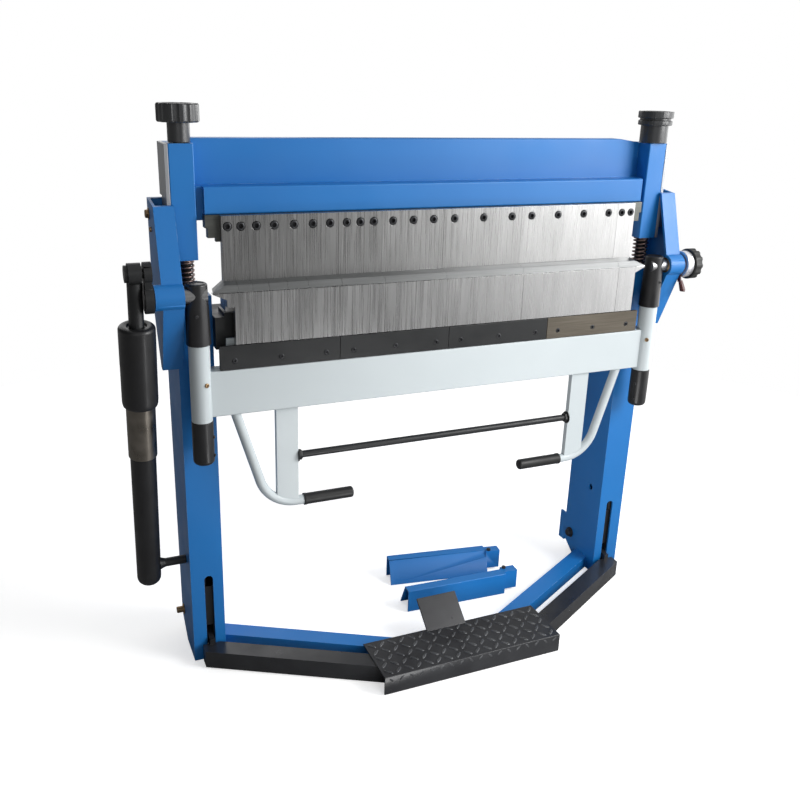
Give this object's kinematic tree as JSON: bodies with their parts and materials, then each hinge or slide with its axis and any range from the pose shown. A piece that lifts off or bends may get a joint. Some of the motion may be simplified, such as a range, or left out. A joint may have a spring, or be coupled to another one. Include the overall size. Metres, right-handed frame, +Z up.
{
  "type": "sheet metal brake",
  "caption": "Free-standing box and pan folding brake with segmented fingers, foot-operated clamping beam, folding apron with handles and a spring counterbalance.",
  "frame": {"origin": "centre of the base bar's underside, on the floor", "axes": "+X along the bend line to the operator's right, +Y away from the operator, +Z up"},
  "size_m": [1.416, 0.4757, 1.265],
  "materials": {
    "blue_paint": "semi-gloss powder coat",
    "white_paint": "satin powder coat",
    "ground_steel": "ground",
    "bare_steel": "machined",
    "bronze": "machined",
    "zinc_bolts": "yellow zinc plate",
    "black_oxide": "black oxide",
    "black_bolts": "black oxide",
    "black_enamel": "gloss enamel",
    "spring_steel": "drawn wire",
    "bronze_grey": "metallic paint",
    "black_plastic": "moulded",
    "white_ring": "engraved",
    "red_lever": "painted",
    "black_paint": "textured enamel"
  },
  "bodies": {
    "frame": {"column_left": "blue_paint", "column_right": "blue_paint", "base_bar_sides": "blue_paint", "base_bar_middle": "blue_paint", "wing_left": "blue_paint", "wing_right": "blue_paint", "pivot_bushes": "bronze", "bed_beam": "blue_paint", "bed_die": "ground_steel", "bed_brackets": "black_oxide", "guide_blocks": "bare_steel", "frame_bolts": "zinc_bolts", "foot_channel_rear": "blue_paint", "foot_channel_front": "blue_paint", "return_springs": "spring_steel"},
    "clamping_beam": {"upper_beam": "blue_paint", "end_boxes": "blue_paint", "slide_plates": "bare_steel", "finger_holder": "bare_steel", "finger_1": "ground_steel", "finger_2": "ground_steel", "finger_3": "ground_steel", "finger_4": "ground_steel", "finger_5": "ground_steel", "finger_6": "ground_steel", "finger_7": "ground_steel", "finger_8": "ground_steel", "finger_9": "ground_steel", "finger_10": "ground_steel", "finger_11": "ground_steel", "finger_bolts": "black_bolts", "pull_rods": "black_oxide"},
    "knob_left": {"knob_left": "black_enamel"},
    "knob_right": {"knob_right": "black_enamel"},
    "apron": {"apron_beam": "white_paint", "end_tubes": "white_paint", "knuckle_left": "black_enamel", "knuckle_right": "black_enamel", "lower_sleeves": "black_enamel", "apron_screws": "zinc_bolts", "clamp_bars": "black_oxide", "bending_blades": "ground_steel", "handle_left": "white_paint", "handle_right": "white_paint", "grips": "black_plastic", "truss_legs": "white_paint", "truss_rod": "black_oxide", "pivot_shafts": "bare_steel", "crank_arm": "black_oxide"},
    "spring_rod": {"spring_rod": "black_oxide"},
    "spring_canister": {"spring_cover": "black_enamel", "spring_tube": "bronze_grey", "spring_base": "black_enamel", "inner_spring": "spring_steel"},
    "angle_ring": {"angle_ring": "white_ring"},
    "stop_knob": {"stop_knob": "black_plastic"},
    "lock_lever": {"lock_lever": "red_lever"},
    "pedal": {"pedal_frame": "black_paint", "pedal_tread": "black_paint", "toe_plate": "black_paint"}
  },
  "joints": [
    {"name": "beam_lift", "type": "slide", "parent": "frame", "child": "clamping_beam", "axis": [0, 0, 1], "range_m": [0, 0.047], "deforming": ["return_springs"]},
    {"name": "pedal_press", "type": "hinge", "parent": "frame", "child": "pedal", "pos_m": [0, 0.286, 0.07], "axis": [-1, 0, 0], "range_deg": [0, 32.4]},
    {"name": "apron_fold", "type": "hinge", "parent": "frame", "child": "apron", "pos_m": [0, 0.11, 0.9], "axis": [-1, 0, 0], "range_deg": [0, 135]},
    {"name": "spring_swing", "type": "hinge", "parent": "apron", "child": "spring_rod", "pos_m": [-0.69, 0.105, 0.952], "axis": [-1, 0, 0], "range_deg": [-131, 0]},
    {"name": "spring_stroke", "type": "slide", "parent": "spring_rod", "child": "spring_canister", "axis": [0, -0.1548, 0.9879], "range_m": [0, 0.083]},
    {"name": "knob_left_turn", "type": "hinge", "parent": "clamping_beam", "child": "knob_left", "pos_m": [-0.577, 0.186, 1.2], "axis": [0, 0, 1], "continuous": true},
    {"name": "knob_right_turn", "type": "hinge", "parent": "clamping_beam", "child": "knob_right", "pos_m": [0.577, 0.186, 1.2], "axis": [0, 0, 1], "continuous": true},
    {"name": "angle_ring_turn", "type": "hinge", "parent": "apron", "child": "angle_ring", "pos_m": [0.655, 0.11, 0.9], "axis": [1, 0, 0], "range_deg": [0, 135]},
    {"name": "stop_knob_turn", "type": "hinge", "parent": "apron", "child": "stop_knob", "pos_m": [0.677, 0.11, 0.9], "axis": [1, 0, 0], "continuous": true},
    {"name": "lock_lever_turn", "type": "hinge", "parent": "frame", "child": "lock_lever", "pos_m": [0.643, 0.11, 0.9], "axis": [1, 0, 0], "range_deg": [-20, 60]}
  ],
  "couplings": [
    {"joint": "pedal_press", "follows": "beam_lift", "rad_per_m": 12.03},
    {"joint": "spring_swing", "follows": "apron_fold", "ratio": -0.97},
    {"joint": "spring_stroke", "follows": "apron_fold", "m_per_rad": 0.035}
  ]
}
